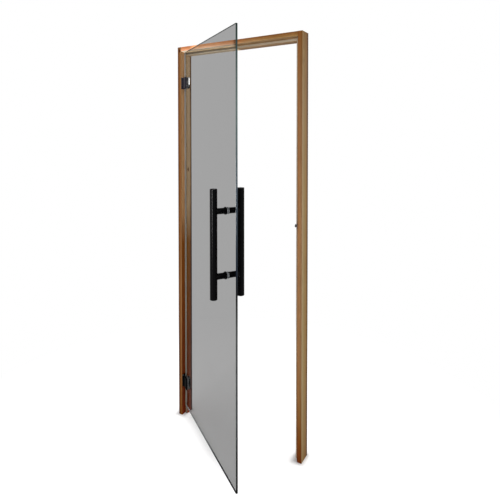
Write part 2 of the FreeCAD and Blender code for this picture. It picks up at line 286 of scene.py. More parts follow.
def thermo_timber(
    name, board, face_bands, edge_bands, rebate_bands, tone, side_light_and_shade, rebate_light_and_shade, knots
):
    """Heat-treated softwood, planed and oiled: brown right through, low in gloss.

    Growth bands run with the grain and wander a little. The rebate has colours of its own,
    paler than the outside as painted light against its shade, and darkest where a painted
    shadow falls. Each board also has painted light and shade along its length, by one tone on
    its front and another on its sides and back: lit and shaded copies of one wood.
    """
    ring_spacing = 4.5 * MM
    fibre_across = 1.5 * MM  # coarser than real fibres, so that they show
    fibre_along = 90 * MM
    wander = 2.5 * MM
    wander_length = 300 * MM
    grain, inward = BOARD_AXES[board]
    low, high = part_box(board)
    outer, inner = high[inward], low[inward]
    if board == "hinge_jamb":
        outer, inner = inner, outer
    lip = outer + math.copysign(LIP_WIDTH, inner - outer)

    material = new_material(name)
    coordinates = add_node(material, "ShaderNodeTexCoord")
    place = coordinates.outputs["Object"]
    split = add_node(material, "ShaderNodeSeparateXYZ", inputs={"Vector": place}).outputs
    facing = add_node(
        material, "ShaderNodeSeparateXYZ", inputs={"Vector": coordinates.outputs["Normal"]}
    ).outputs

    # Slow wander of every band along the board
    slow_scale = [1.0 / (70 * MM)] * 3
    slow_scale[grain] = 1.0 / wander_length
    slow_place = add_node(
        material, "ShaderNodeMapping", inputs={"Vector": place, "Scale": slow_scale}
    )
    slow = add_node(
        material, "ShaderNodeTexNoise", inputs={"Vector": slow_place.outputs[0], "Scale": 1.0}
    )
    drift = mapped(material, slow.outputs[0], 0.25, 0.75, -wander, wander)

    # Bands across the faces, across the edges and down into the rebate
    across = calculated(material, "ADD", split[inward], drift)
    deep = calculated(material, "ADD", split[1], drift)
    face_share = mapped(material, across, outer, inner)
    depth_share = mapped(material, deep, low[1], high[1])
    end_share = mapped(material, split[grain], cad_box[0][grain], cad_box[1][grain])
    on_face = shaded(material, face_share, face_bands)
    on_edge = shaded(material, depth_share, edge_bands)
    in_rebate = shaded(material, depth_share, rebate_bands)
    edgeways = calculated(material, "ABSOLUTE", facing[inward], 0.0)
    outside = mixed(material, "MIX", edgeways, on_face, on_edge)
    # Painted light and shade: one tone along the board for the front faces, another for the sides and
    # back
    fronting = mapped(material, facing[1], -0.4, -0.8)
    on_front = shaded(material, end_share, tone)
    on_side = shaded(material, end_share, side_light_and_shade)
    painted_light_tone = mixed(material, "MIX", fronting, on_side, on_front)
    outside = mixed(material, "MULTIPLY", 1.0, outside, painted_light_tone)
    # Painted light and shade along the board in the rebate as well
    rebate = mixed(
        material, "MULTIPLY", 1.0, in_rebate, shaded(material, end_share, rebate_light_and_shade)
    )
    hair = math.copysign(0.3 * MM, inner - outer)
    past_lip = mapped(material, split[inward], lip - 2.0 * hair, lip - hair)
    short_of_back = mapped(material, split[1], high[1] - 0.4 * MM, high[1] - 1.2 * MM)
    cut_away = calculated(material, "MULTIPLY", past_lip, short_of_back)
    colour = mixed(material, "MIX", cut_away, outside, rebate)

    # Growth rings cross the section at a slant
    slant = calculated(material, "MULTIPLY", split[1], 0.55)
    ring_place = calculated(material, "ADD", across, slant)
    ring_place = calculated(material, "ADD", ring_place, calculated(material, "MULTIPLY", drift, 3.0))
    ring_count = calculated(material, "DIVIDE", ring_place, ring_spacing)
    ring_phase = calculated(material, "FRACT", ring_count, 0.0)
    rings = shaded(
        material,
        ring_phase,
        [
            (0.0, (1.05, 1.05, 1.05, 1.0)),
            (0.5, (1.0, 0.99, 0.98, 1.0)),
            (0.85, (0.8, 0.75, 0.7, 1.0)),
            (1.0, (1.05, 1.05, 1.05, 1.0)),
        ],
    )
    colour = mixed(material, "MULTIPLY", 1.0, colour, rings)

    # Fibres
    fibre_scale = [1.0 / fibre_across] * 3
    fibre_scale[grain] = 1.0 / fibre_along
    fibre_place = add_node(
        material, "ShaderNodeMapping", inputs={"Vector": place, "Scale": fibre_scale}
    )
    fibre = add_node(
        material,
        "ShaderNodeTexNoise",
        inputs={
            "Vector": fibre_place.outputs[0],
            "Scale": 1.0,
            "Detail": 6.0,
            "Roughness": 0.7,
        },
    ).outputs[0]
    fibres = shaded(
        material, fibre, [(0.32, (0.74, 0.68, 0.62, 1.0)), (0.6, (1.08, 1.08, 1.08, 1.0))]
    )
    colour = mixed(material, "MULTIPLY", 1.0, colour, fibres)

    # Knots: dark ovals drawn out along the grain
    for knot_place, knot_radius in knots:
        stretch = [1.0 / knot_radius] * 3
        stretch[grain] = 0.45 / knot_radius
        centred = add_node(
            material,
            "ShaderNodeVectorMath",
            {"operation": "SUBTRACT"},
            {0: place, 1: tuple(knot_place)},
        )
        oval = add_node(
            material,
            "ShaderNodeVectorMath",
            {"operation": "MULTIPLY"},
            {0: centred.outputs[0], 1: tuple(stretch)},
        )
        reach = add_node(
            material, "ShaderNodeVectorMath", {"operation": "LENGTH"}, {0: oval.outputs[0]}
        ).outputs["Value"]
        knot = shaded(
            material,
            reach,
            [(0.0, linear("#6a3f22")), (0.55, linear("#8f6743")), (1.0, (1.0, 1.0, 1.0, 1.0))],
        )
        colour = mixed(material, "MULTIPLY", 1.0, colour, knot)

    relief = add_node(
        material,
        "ShaderNodeBump",
        inputs={"Height": fibre, "Strength": 0.3, "Distance": 0.2 * MM},
    )
    shader = add_node(
        material,
        "ShaderNodeBsdfPrincipled",
        inputs={
            "Base Color": colour,
            "Roughness": 0.6,
            "Specular IOR Level": 0.06,
            "Normal": relief.outputs[0],
        },
    )
    return finish_material(material, shader)


def grey_float_glass():
    """Toughened float glass, tinted grey in the body: clear, flat and without texture.

    Its index is set below that of real glass, so that the white studio mirrored in it
    doesn't veil the timber behind.
    """
    material = new_material("grey toughened float glass")
    shader = add_node(
        material,
        "ShaderNodeBsdfPrincipled",
        inputs={
            "Base Color": linear("#a2a2a2"),
            "Roughness": 0.0,
            "IOR": 1.03,
            "Transmission Weight": 1.0,
        },
    )
    return finish_material(material, shader)


def glass_edge(name, axis, stops, roughness, specular=0.12):
    """Worked edge of the glass, dark where light is lost in the depth of the sheet; where its stops
    along one axis vary, they are painted light and shade.
    """
    streak_across = 1.2 * MM
    streak_along = 60 * MM
    material = new_material(name)
    coordinates = add_node(material, "ShaderNodeTexCoord")
    place = coordinates.outputs["Object"]
    split = add_node(material, "ShaderNodeSeparateXYZ", inputs={"Vector": place}).outputs
    share = mapped(material, split[axis], cad_box[0][axis], cad_box[1][axis])
    streak_scale = [1.0 / streak_across] * 3
    streak_scale[axis] = 1.0 / streak_along
    streak_place = add_node(
        material, "ShaderNodeMapping", inputs={"Vector": place, "Scale": streak_scale}
    )
    streak = add_node(
        material, "ShaderNodeTexNoise", inputs={"Vector": streak_place.outputs[0], "Scale": 1.0}
    )
    streaks = shaded(
        material, streak.outputs[0], [(0.3, (0.85, 0.85, 0.85, 1.0)), (0.7, (1.1, 1.1, 1.1, 1.0))]
    )
    colour = mixed(material, "MULTIPLY", 1.0, shaded(material, share, stops), streaks)
    shader = add_node(
        material,
        "ShaderNodeBsdfPrincipled",
        inputs={"Base Color": colour, "Roughness": roughness, "Specular IOR Level": specular},
    )
    return finish_material(material, shader)


def coated_black(name, hex_colour, roughness, specular, grit):
    """Black finish on metal with the fine orange peel of its coat."""
    material = new_material(name)
    coordinates = add_node(material, "ShaderNodeTexCoord")
    peel = add_node(
        material,
        "ShaderNodeTexNoise",
        inputs={"Vector": coordinates.outputs["Object"], "Scale": 1.0 / grit, "Detail": 2.0},
    )
    relief = add_node(
        material,
        "ShaderNodeBump",
        inputs={"Height": peel.outputs[0], "Strength": 0.06, "Distance": 0.05 * MM},
    )
    tone = set_ramp(
        add_node(material, "ShaderNodeValToRGB", inputs={"Fac": peel.outputs[0]}),
        [(0.35, linear(hex_colour)), (0.65, tuple(1.25 * part for part in linear(hex_colour)))],
    )
    shader = add_node(
        material,
        "ShaderNodeBsdfPrincipled",
        inputs={
            "Base Color": tone.outputs[0],
            "Roughness": roughness,
            "Specular IOR Level": specular,
            "Normal": relief.outputs[0],
        },
    )
    return finish_material(material, shader)


def plain_metal(name, hex_colour, roughness, scratch):
    """Bare metal with fine scratches of the given spacing."""
    material = new_material(name)
    coordinates = add_node(material, "ShaderNodeTexCoord")
    scratches = add_node(
        material,
        "ShaderNodeTexNoise",
        inputs={"Vector": coordinates.outputs["Object"], "Scale": 1.0 / scratch, "Detail": 3.0},
    )
    tone = set_ramp(
        add_node(material, "ShaderNodeValToRGB", inputs={"Fac": scratches.outputs[0]}),
        [(0.3, tuple(0.8 * part for part in linear(hex_colour))), (0.7, linear(hex_colour))],
    )
    shader = add_node(
        material,
        "ShaderNodeBsdfPrincipled",
        inputs={"Base Color": tone.outputs[0], "Roughness": roughness, "Metallic": 1.0},
    )
    return finish_material(material, shader)


def soft_plastic(name, hex_colour, roughness, transmission, mottle, shaded_below=0.0):
    """Moulded or extruded plastic, faintly mottled, and darker below a height if one is given, as
    painted shade near the floor.
    """
    foot_shade = linear("#6a5f4c")
    material = new_material(name)
    coordinates = add_node(material, "ShaderNodeTexCoord")
    cloud = add_node(
        material,
        "ShaderNodeTexNoise",
        inputs={"Vector": coordinates.outputs["Object"], "Scale": 1.0 / mottle, "Detail": 2.0},
    )
    tone = set_ramp(
        add_node(material, "ShaderNodeValToRGB", inputs={"Fac": cloud.outputs[0]}),
        [(0.3, tuple(0.9 * part for part in linear(hex_colour))), (0.7, linear(hex_colour))],
    )
    colour = tone.outputs[0]
    if shaded_below > 0.0:
        height = add_node(
            material, "ShaderNodeSeparateXYZ", inputs={"Vector": coordinates.outputs["Object"]}
        ).outputs["Z"]
        unshaded = mapped(material, height, 0.85 * shaded_below, 1.15 * shaded_below)
        colour = mixed(material, "MIX", unshaded, foot_shade, colour)
    shader = add_node(
        material,
        "ShaderNodeBsdfPrincipled",
        inputs={
            "Base Color": colour,
            "Roughness": roughness,
            "Transmission Weight": transmission,
            "IOR": 1.41,
        },
    )
    return finish_material(material, shader)


# Axis of the grain and axis towards the opening of each board
BOARD_AXES = {"hinge_jamb": (2, 0), "latch_jamb": (2, 0), "head_rail": (0, 2)}


def bands(*stops):
    """Colour stops written as share and sRGB hex."""
    return [(share, linear(colour)) for share, colour in stops]


def tones(*stops):
    """Multiplying stops written as share and red, green, blue."""
    return [(share, (*tone, 1.0)) for share, tone in stops]


# Planed along the grain, then oiled: soft brown streaks, painted darker at the outer arris as
# painted shade; the rebate painted paler as painted light, with a painted shadow at its back
# arris; and the lower half painted deep red-brown as painted shade under the leaf
hinge_jamb_timber = thermo_timber(
    "heat-treated pine of the hinge jamb, planed and oiled",
    "hinge_jamb",
    bands(
        (0.0, "#4c2a0c"),
        (0.1, "#613612"),
        (0.15, "#845020"),
        (0.3, "#8e5a2c"),
        (0.5, "#a87f54"),
        (1.0, "#8a5a2c"),
    ),
    bands((0.0, "#5e3812"), (0.2, "#9c6c38"), (0.6, "#946838"), (1.0, "#70481e")),
    bands(
        (0.0, "#b48e64"),
        (0.3, "#c49e76"),
        (0.4, "#e0c298"),
        (0.7, "#e4c8a2"),
        (0.8, "#d0ac80"),
        (0.87, "#7e5832"),
        (0.93, "#3a220c"),
        (1.0, "#140a04"),
    ),
    tones(
        (0.0, (0.5, 0.36, 0.12)),
        (0.05, (0.64, 0.52, 0.3)),
        (0.2, (0.86, 0.8, 0.7)),
        (0.35, (0.95, 0.93, 0.86)),
        (0.55, (0.86, 0.78, 0.68)),
        (0.75, (0.88, 0.8, 0.7)),
        (1.0, (0.94, 0.92, 0.88)),
    ),
    tones(
        (0.0, (0.48, 0.26, 0.1)),
        (0.05, (0.54, 0.32, 0.12)),
        (0.2, (0.62, 0.38, 0.14)),
        (0.45, (0.72, 0.52, 0.28)),
        (0.58, (1.0, 0.94, 0.86)),
        (0.9, (1.0, 0.98, 0.96)),
        (1.0, (0.9, 0.74, 0.5)),
    ),
    tones(
        (0.0, (0.32, 0.06, 0.01)),
        (0.2, (0.38, 0.12, 0.01)),
        (0.47, (0.52, 0.27, 0.05)),
        (0.57, (1.04, 1.0, 0.92)),
        (1.0, (1.12, 1.14, 1.16)),
    ),
    [((0.012, -0.0325, 1.872), 5 * MM), ((0.038, 0.004, 1.268), 7 * MM)],
)
# Same boards in fuller light: a ruddy face beside a pale olive edge, with painted shade darkest at
# the foot
latch_jamb_timber = thermo_timber(
    "heat-treated pine of the latch jamb, planed and oiled",
    "latch_jamb",
    bands(
        (0.0, "#98744c"),
        (0.1, "#94704c"),
        (0.28, "#a57b54"),
        (0.45, "#a6784c"),
        (0.54, "#8c5c30"),
        (0.58, "#5c340e"),
        (1.0, "#8a5a2c"),
    ),
    bands(
        (0.0, "#9a876a"),
        (0.18, "#94825e"),
        (0.42, "#8a744a"),
        (0.66, "#8a6c42"),
        (0.82, "#654a24"),
        (1.0, "#38260c"),
    ),
    bands(
        (0.0, "#7c5430"),
        (0.35, "#8c6038"),
        (0.7, "#8c683c"),
        (1.0, "#6e4c26"),
    ),
    tones(
        (0.0, (0.46, 0.17, 0.0)),
        (0.05, (0.6, 0.34, 0.06)),
        (0.12, (0.86, 0.76, 0.48)),
        (0.24, (1.12, 1.12, 1.06)),
        (0.6, (1.2, 1.17, 1.13)),
        (0.84, (0.97, 0.89, 0.8)),
        (0.95, (0.84, 0.7, 0.48)),
        (1.0, (0.72, 0.53, 0.26)),
    ),
    tones(
        (0.0, (0.86, 0.74, 0.6)),
        (0.05, (0.94, 0.86, 0.72)),
        (0.13, (1.04, 1.0, 0.9)),
        (0.24, (1.12, 1.12, 1.06)),
        (0.6, (1.14, 1.12, 1.08)),
        (0.84, (0.97, 0.89, 0.8)),
        (0.95, (0.86, 0.72, 0.52)),
        (1.0, (0.74, 0.56, 0.32)),
    ),
    tones(
        (0.0, (0.44, 0.16, 0.04)),
        (0.3, (0.62, 0.44, 0.3)),
        (0.8, (0.92, 0.9, 0.88)),
        (1.0, (1.05, 1.05, 1.05)),
    ),
    [((0.662, 0.0325, 1.37), 6 * MM)],
)
# Same boards again, with painted light: salmon and pale towards the hinges, and paler still
# behind the leaf, where the tones lift the wood several times over to show through the grey glass
head_timber = thermo_timber(
    "heat-treated pine of the head, planed and oiled",
    "head_rail",
    bands(
        (0.0, "#85562a"),
        (0.2, "#98693e"),
        (0.4, "#a87e52"),
        (0.58, "#b39570"),
        (1.0, "#8a623a"),
    ),
    bands((0.0, "#9a7040"), (0.5, "#a27a4e"), (1.0, "#805830")),
    bands((0.0, "#a88e6c"), (0.35, "#bd9c74"), (0.6, "#866642"), (1.0, "#94795a")),
    tones(
        (0.0, (2.8, 2.4, 3.0)),
        (0.11, (2.8, 2.4, 3.0)),
        (0.16, (6.2, 6.8, 9.8)),
        (0.3, (6.2, 6.4, 8.6)),
        (0.48, (4.6, 4.4, 5.6)),
        (0.505, (1.6, 1.35, 1.3)),
        (0.6, (1.25, 1.2, 1.12)),
        (0.75, (1.1, 1.1, 0.95)),
        (1.0, (0.9, 0.86, 0.62)),
    ),
    tones((0.0, (1.2, 1.15, 1.1)), (0.6, (1.1, 1.1, 1.0)), (1.0, (0.92, 0.86, 0.7))),
    tones(
        (0.0, (4.4, 6.0, 9.0)),
        (0.3, (4.6, 6.4, 9.6)),
        (0.47, (4.4, 6.0, 9.0)),
        (0.505, (1.0, 1.0, 1.05)),
        (0.56, (1.12, 1.12, 1.12)),
        (1.0, (1.0, 1.0, 0.98)),
    ),
    [((0.43, 0.0325, 1.877), 5 * MM)],
)

# Flat clear faces: the timber shows through grey and sharp, with hardly any mirroring
leaf_glass = grey_float_glass()
# Depth of the tinted sheet seen end on: a near-black line that turns blue-green higher up, its light
# and dark bands up the height painted reflection and painted shade
polished_edge = glass_edge(
    "polished free edge of the glass",
    2,
    bands(
        (0.04, "#010101"),
        (0.1, "#040404"),
        (0.17, "#34383a"),
        (0.36, "#484a4a"),
        (0.43, "#020203"),
        (0.5, "#1e2834"),
        (0.65, "#424d57"),
        (0.8, "#667472"),
        (0.92, "#445452"),
        (1.0, "#16251f"),
    ),
    0.15,
    0.06,
)
# Same polish underneath: painted pale by the hinge as painted light from the floor, and black further
# out
polished_foot = glass_edge(
    "polished bottom edge of the glass",
    0,
    bands((0.1, "#cfcfcf"), (0.4, "#a4a6a8"), (0.56, "#2c3136"), (0.66, "#040404")),
    0.4,
    0.03,
)
# Ground matt by hand: a thin grey line without any glint round the sheet
ground_arris = glass_edge(
    "ground arris of the glass",
    2,
    bands((0.0, "#707272"), (1.0, "#767a79")),
    0.5,
)
# Ground by machine and left rough: pale against the dark rebate, and painted lighter towards the top
# as painted light
ground_edge = glass_edge(
    "ground hinge edge of the glass",
    2,
    bands((0.0, "#b9b2a4"), (0.5, "#c4beb2"), (1.0, "#e4e0da")),
    0.6,
)
# Powder coat with its orange peel: charcoal with a violet cast and broad dull sheen, the lit copy of
# the hinges' coat
hinge_black = coated_black("powder-coated steel of the hinges", "#24222c", 0.4, 0.1, 0.9 * MM)
# Same coat in the shade of the leaf, painted black as painted shade: a shaded copy with next to no
# sheen
shaded_hinge_black = coated_black(
    "powder-coated steel of the lower hinge", "#030304", 0.6, 0.02, 0.9 * MM
)
# Satin lacquer on the drawn tube: deep black with one narrow line of light along it
handle_black = coated_black("satin lacquered steel of the handle", "#020203", 0.22, 0.05, 0.7 * MM)
# Oil-blackened turned heads: small dark discs that catch a dull glint
screw_black = coated_black("blackened screw steel", "#141416", 0.35, 0.5, 0.5 * MM)
# Centreless-ground rod: bright grey with fine scratches
pin_steel = plain_metal("ground steel of the pins", "#8d8f92", 0.3, 1.5 * MM)
# Thin zinc plate on a pressed part, tarnished: dark dull metal
zinc_steel = plain_metal("zinc-plated pressed steel of the catch", "#4c4644", 0.5, 2.0 * MM)
# Extruded strip, matt and milky, painted darker below the glass as painted shade near the floor: the
# pale line in the rebate
seal_silicone = soft_plastic(
    "extruded silicone of the hinge jamb seal", "#fff6ea", 0.5, 0.0, 6 * MM, 55 * MM
)
# Same strip under the head, painted a warm beige as painted shade for the rebate
head_silicone = soft_plastic("extruded silicone of the head seal", "#cbb99e", 0.5, 0.0, 6 * MM)
# Same strip in the latch jamb, painted darker as painted shade: hardly apart from the timber round it
latch_silicone = soft_plastic(
    "extruded silicone of the latch jamb seal", "#c0aa8e", 0.5, 0.0, 6 * MM
)
# Polished strip put at the end of the upper inner plate as a painted highlight: the bright sliver
# beside the upper hinge
highlight_steel = plain_metal("polished steel of the plate end", "#f4f4f2", 0.18, 1.0 * MM)
# Pressed clear sheet: a greyish glassy rim round the hinge plates
gasket_vinyl = soft_plastic("clear vinyl of the hinge pads", "#d8dadb", 0.3, 0.5, 3 * MM)
# Moulded clear ring: pale and slightly glassy between metal and glass
bush_plastic = soft_plastic("clear plastic of the bushes", "#f4f8fc", 0.25, 0.1, 3 * MM)
# Turned wheel, a little greasy: near black with a soft shine
roller_nylon = soft_plastic("black nylon of the roller", "#170e12", 0.4, 0.0, 2 * MM)


# Carried-over solids take their finish


def dress(material, *nodes):
    """Gives construction solids their material."""
    for node in nodes:
        solid = frame["nodes"][node]
        solid.data.materials.clear()
        solid.data.materials.append(material)


dress(hinge_jamb_timber, "hinge_jamb")
dress(latch_jamb_timber, "latch_jamb")
dress(head_timber, "head_rail")
# The lower hinge takes the shaded copy of the coat, painted darker as painted shade
for level, coat in (("upper", hinge_black), ("lower", shaded_hinge_black)):
    for fitting in ("bracket", "clamp", "backplate"):
        dress(coat, "%s_hinge_%s" % (level, fitting))
dress(pin_steel, "upper_hinge_pin", "lower_hinge_pin", "upper_handle_stud", "lower_handle_stud")
dress(gasket_vinyl, "upper_hinge_gasket", "lower_hinge_gasket")
dress(bush_plastic, "upper_handle_bush", "lower_handle_bush")
dress(zinc_steel, "catch_housing")


# Glass leaf with ground arrises


def build_glass():
    """Slab whose edge profile is carried round a rectangle with round corners.

    At inset d the outline's corner arcs have the radius r - d about the same four middles,
    and the profile steps from one face over the arris, the flat edge and the other arris.
    """
    low, high = leaf_box("glass_leaf")
    radius = 3.0 * MM
    arris = 1.0 * MM
    steps = 8
    quarter = np.linspace(0.0, math.pi / 2.0, steps)
    corner = np.repeat(np.arange(4), steps)
    angle = corner * math.pi / 2.0 + np.tile(quarter, 4)
    at_free_edge = (corner == 0) | (corner == 3)
    middle_s = np.where(at_free_edge, high[0] - radius, low[0] + radius)
    middle_z = np.where(corner < 2, high[2] - radius, low[2] + radius)
    profile = [
        (arris, low[1]),
        (0.0, low[1] + arris),
        (0.0, high[1] - arris),
        (arris, high[1]),
    ]
    rings = []
    for inset, t in profile:
        ring_s = middle_s + (radius - inset) * np.cos(angle)
        ring_z = middle_z + (radius - inset) * np.sin(angle)
        rings.append(np.stack([ring_s, np.full_like(ring_s, t), ring_z], axis=1))
    count = len(angle)
    faces = grid_quads(len(profile), count, wrap_columns=True)

    # The last quad of each corner's arc is a straight side: top, hinge edge, foot, free edge
    side = np.repeat([0, 1, 2, 3], steps)
    flat = np.choose(side, [3, 4, 2, 1])
    turned_down = np.choose(side, [3, 4, 2, 1])
    corner_mark = np.where(at_free_edge, 1, 4)
    straight = np.tile(np.arange(steps) == steps - 1, 4)
    flat = np.where(straight, flat, corner_mark)
    turned_down = np.where(straight, turned_down, corner_mark)
    marks = np.concatenate([turned_down, flat, turned_down]).tolist()
    last = (len(profile) - 1) * count
    faces.append(list(range(count)))
    faces.append(list(range(last, last + count)))
    marks += [0, 0]
    return make_piece(
        "leaf_glass",
        leaf_to_row(np.concatenate(rings)),
        faces,
        [leaf_glass, polished_edge, polished_foot, ground_arris, ground_edge],
        "leaf",
        ["glass_leaf"],
        marks,
    )


build_glass()


# Handle


def build_bar(side):
    """Round tube of one bar, a plain turned surface between its caps."""
    low, high = leaf_box(side + "_handle_bar")
    radius = (high[0] - low[0]) / 2.0
    centre = leaf_to_row([(low[0] + high[0]) / 2.0, (low[1] + high[1]) / 2.0, low[2]])
    length = high[2] - low[2]
    bore = radius - TUBE_WALL
    profile = [(bore, 0.0), (radius, 0.0), (radius, length), (bore, length), (bore, 0.0)]
    points, faces = turned(profile, centre, upward)
    make_piece(
        side + "_bar_tube",
        points,
        faces,
        [handle_black],
        "leaf",
        [side + "_handle_bar"],
    )


def build_cap(side, end):
    """Cap of a bar: a hairline at the tube, then a flat disc with a rounded rim."""
    low, high = leaf_box("%s_handle_%s_cap" % (side, end))
    radius = (high[0] - low[0]) / 2.0
    height = high[2] - low[2]
    hairline = 0.25 * MM
    rim = 1.7 * MM
    if end == "top":
        base, direction = low[2], upward
    else:
        base, direction = high[2], -upward
    centre = leaf_to_row([(low[0] + high[0]) / 2.0, (low[1] + high[1]) / 2.0, base])
    profile = np.concatenate(
        [
            [(0.0, 0.0), (radius - hairline, 0.0), (radius - hairline, hairline), (radius, hairline)],
            rounded_corner(rim, height - rim, 0, 90, radius - rim),
            [(0.0, height)],
        ]
    )
    points, faces = turned(profile, centre, direction)
    make_piece(
        "%s_%s_cap" % (side, end),
        points,
        faces,
        [handle_black],
        "leaf",
        ["%s_handle_%s_cap" % (side, end)],
    )


def build_post(side, level):
    """Stand-off scribed to the bar.

    At angle a round the post its end on the bar stops at sqrt(R^2 - (r cos a)^2) from the
    bar's axis, where R is the bar's radius and r the post's.
    """
    low, high = leaf_box("%s_%s_post" % (side, level))
    bar_low, bar_high = leaf_box(side + "_handle_bar")
    bar_radius = (bar_high[0] - bar_low[0]) / 2.0
    bar_t = (bar_low[1] + bar_high[1]) / 2.0
    radius = (high[0] - low[0]) / 2.0
    middle_s = (low[0] + high[0]) / 2.0
    middle_z = (low[2] + high[2]) / 2.0
    if side == "outer":
        glass_t, towards = high[1], 1.0
    else:
        glass_t, towards = low[1], -1.0
    rim = 0.6 * MM
    segments = 72
    angle = np.linspace(0.0, 2.0 * math.pi, segments, endpoint=False)
    scribe = np.sqrt(bar_radius ** 2 - (radius * np.cos(angle)) ** 2) - 0.3 * MM
    rings = []
    for ring_radius, ring_t in [
        (0.0, bar_t + towards * bar_radius * 0.6 + 0.0 * angle),
        (radius, bar_t + towards * scribe),
        (radius, glass_t - towards * rim + 0.0 * angle),
        (radius - rim, glass_t + 0.0 * angle),
        (0.0, glass_t + 0.0 * angle),
    ]:
        rings.append(
            np.stack(
                [
                    middle_s + ring_radius * np.cos(angle),
                    ring_t,
                    middle_z + ring_radius * np.sin(angle),
                ],
                axis=1,
            )
        )
    make_piece(
        "%s_%s_standoff" % (side, level),
        leaf_to_row(np.concatenate(rings)),
        grid_quads(len(rings), segments, wrap_columns=True),
        [handle_black],
        "leaf",
        ["%s_%s_post" % (side, level)],
    )


def build_collar(level):
    """Collar of an outer stand-off with both rims rounded."""
    low, high = leaf_box("outer_%s_collar" % level)
    radius = (high[0] - low[0]) / 2.0
    height = high[1] - low[1]
    rim = 0.9 * MM
    centre = leaf_to_row([(low[0] + high[0]) / 2.0, low[1], (low[2] + high[2]) / 2.0])
    profile = np.concatenate(
        [
            [(0.0, 0.0)],
            rounded_corner(rim, rim, -90, 0, radius - rim),
            rounded_corner(rim, height - rim, 0, 90, radius - rim),
            [(0.0, height)],
        ]
    )
    points, faces = turned(profile, centre, leaf_inward)
    make_piece(
        "outer_%s_collar_ring" % level,
        points,
        faces,
        [handle_black],
        "leaf",
        ["outer_%s_collar" % level],
    )


def build_washer(level, face):
    """Thin clear washer between the glass and the metal, round the proud end of the bush."""
    glass_low, glass_high = leaf_box("glass_leaf")
    bush_low, bush_high = leaf_box("%s_handle_bush" % level)
    hole = (bush_high[0] - bush_low[0]) / 2.0 + 0.1 * MM
    radius = 14.2 * MM
    if face == "outer":
        t, thickness = bush_low[1], glass_low[1] - bush_low[1]
    else:
        t, thickness = glass_high[1], bush_high[1] - glass_high[1]
    centre = leaf_to_row([(bush_low[0] + bush_high[0]) / 2.0, t, (bush_low[2] + bush_high[2]) / 2.0])
    profile = [(hole, 0.0), (radius, 0.0), (radius, thickness), (hole, thickness), (hole, 0.0)]
    points, faces = turned(profile, centre, leaf_inward)
    make_piece(
        "%s_%s_washer" % (level, face), points, faces, [bush_plastic], "leaf"
    )


for side in ("outer", "inner"):
    build_bar(side)
    for end in ("top", "bottom"):
        build_cap(side, end)
    for level in ("upper", "lower"):
        build_post(side, level)
        build_washer(level, side)
for level in ("upper", "lower"):
    build_collar(level)


# Seals


def seal_outline():
    """Bulb of the seal: a flat foot and a crown.

    At angle a a point lies at (width / 2 * cos a, proud * (sin a) ** 0.6).
    """
    angle = np.linspace(0.0, math.pi, 17)
    across = SEAL_WIDTH / 2.0 * np.cos(angle)
    return np.stack([across, SEAL_PROUD * np.sin(angle) ** 0.6], axis=1)


def build_jamb_seal(jamb, fittings, silicone):
    """Bulb along a jamb in lengths that stop short of each fitting."""
    low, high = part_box(jamb + "_seal")
    clearance = 1.0 * MM
    shoulder = low[1] + SEAL_PROUD
    middle = (low[0] + high[0]) / 2.0
    stops = [low[2]]
    for fitting in fittings:
        fitting_low, fitting_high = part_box(fitting)
        stops += [fitting_low[2] - clearance, fitting_high[2] + clearance]
    stops.append(high[2])
    points = []
    faces = []
    for start, end in zip(stops[::2], stops[1::2]):
        run_points, run_faces = carried(
            seal_outline(),
            np.array([middle, shoulder, start]),
            np.array([middle, shoulder, end]),
            (1.0, 0.0, 0.0),
            (0.0, -1.0, 0.0),
        )
        faces += [[index + sum(map(len, points)) for index in face] for face in run_faces]
        points.append(run_points)
    make_piece(
        jamb + "_bulb",
        np.concatenate(points),
        faces,
        [silicone],
        "frame",
        [jamb + "_seal"],
    )


build_jamb_seal("hinge_jamb", ["lower_hinge_bracket", "upper_hinge_bracket"], seal_silicone)
build_jamb_seal("latch_jamb", ["catch_housing"], latch_silicone)
dress(head_silicone, "head_seal")


# Catch


def build_roller():
    """Nylon roller with rounded rims on its axle."""
    low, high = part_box("catch_roller")
    radius = (high[2] - low[2]) / 2.0
    length = high[0] - low[0]
    rim = 1.4 * MM
    centre = np.array([low[0], (low[1] + high[1]) / 2.0, (low[2] + high[2]) / 2.0])
    profile = np.concatenate(
        [
            [(0.0, 0.0)],
            rounded_corner(rim, rim, -90, 0, radius - rim),
            rounded_corner(rim, length - rim, 0, 90, radius - rim),
            [(0.0, length)],
        ]
    )
    points, faces = turned(profile, centre, (1.0, 0.0, 0.0))
    make_piece(
        "catch_roller_turned",
        points,
        faces,
        [roller_nylon],
        "frame",
        ["catch_roller"],
    )


build_roller()


# Highlight strip on the inner hinge plate


def rounded_block(low, high, power):
    """Block with softly rounded edges, given by its lowest and highest (s, t, z).

    On a grid of two angles the point is low + (high - low) * (1 + f(direction)) / 2, where f
    is a superellipsoid: each direction cosine is raised to 2 / power and keeps its sign.
    """
    low = np.asarray(low, float)
    high = np.asarray(high, float)
    rows, columns = 25, 48
    tilt = np.linspace(-math.pi / 2.0, math.pi / 2.0, rows)[:, None]
    turn = np.linspace(0.0, 2.0 * math.pi, columns, endpoint=False)[None, :]
    exponent = 2.0 / power

    def raised(value):
        return np.sign(value) * np.abs(value) ** exponent

    across = raised(np.cos(tilt)) * raised(np.cos(turn))
    through = raised(np.cos(tilt)) * raised(np.sin(turn))
    up = raised(np.sin(tilt)) * np.ones_like(turn)
    unit = np.stack([across, through, up], axis=-1).reshape(-1, 3)
    points = (low + high) / 2.0 + unit * (high - low) / 2.0
    return points, grid_quads(rows, columns, wrap_columns=True)


def build_highlight_strip():
    """Bright strip at the end of the upper hinge's inner plate, a painted highlight standing for a
    glint there.
    """
    low, high = leaf_box("upper_hinge_backplate")
    strip_low = [high[0] - 0.4 * MM, low[1] + 0.6 * MM, high[2] - 40 * MM]
    strip_high = [high[0] + 0.8 * MM, high[1] - 0.6 * MM, high[2] - 1.5 * MM]
    points, faces = rounded_block(strip_low, strip_high, 8.0)
    make_piece(
        "upper_hinge_plate_end",
        leaf_to_row(points),
        faces,
        [highlight_steel],
        "leaf",
    )


build_highlight_strip()


# Screws


